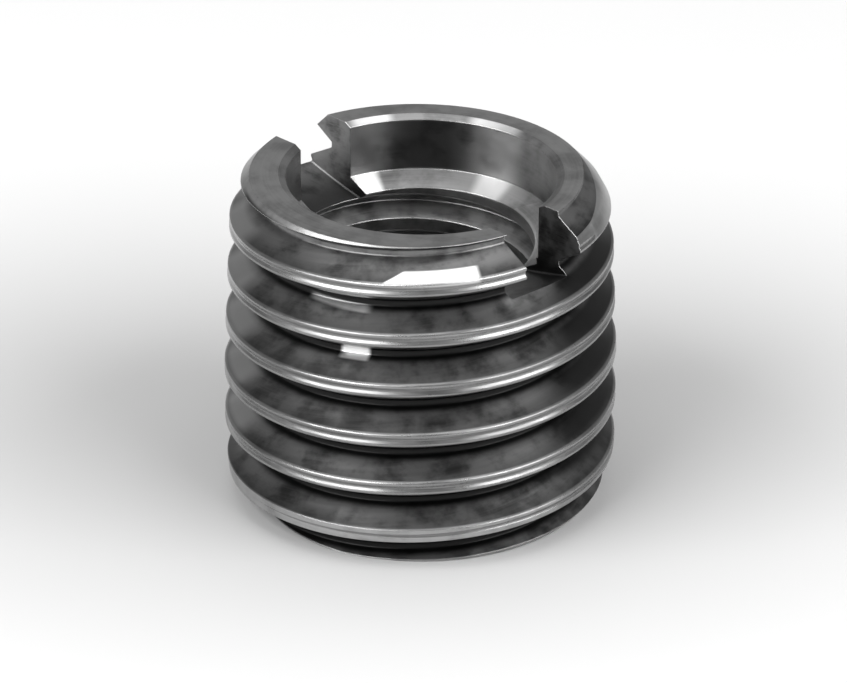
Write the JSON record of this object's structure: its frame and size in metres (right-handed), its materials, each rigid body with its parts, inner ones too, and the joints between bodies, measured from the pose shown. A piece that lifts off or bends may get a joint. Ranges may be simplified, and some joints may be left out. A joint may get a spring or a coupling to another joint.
{
  "type": "slotted thread adapter",
  "caption": "Headless steel bushing with a coarse outer thread, a smaller threaded bore below a plain recess, and a driver slot across its top.",
  "frame": {"origin": "centre of the foot, on the axis of both threads", "axes": "+Z along the axis from the foot to the slotted face, +X along the driver slot"},
  "size_m": [0.0188, 0.0188, 0.0163],
  "materials": {
    "dark_steel": "darkened machined steel, bright along its worn edges"
  },
  "bodies": {
    "root": {"bushing": "dark_steel"}
  },
  "joints": []
}
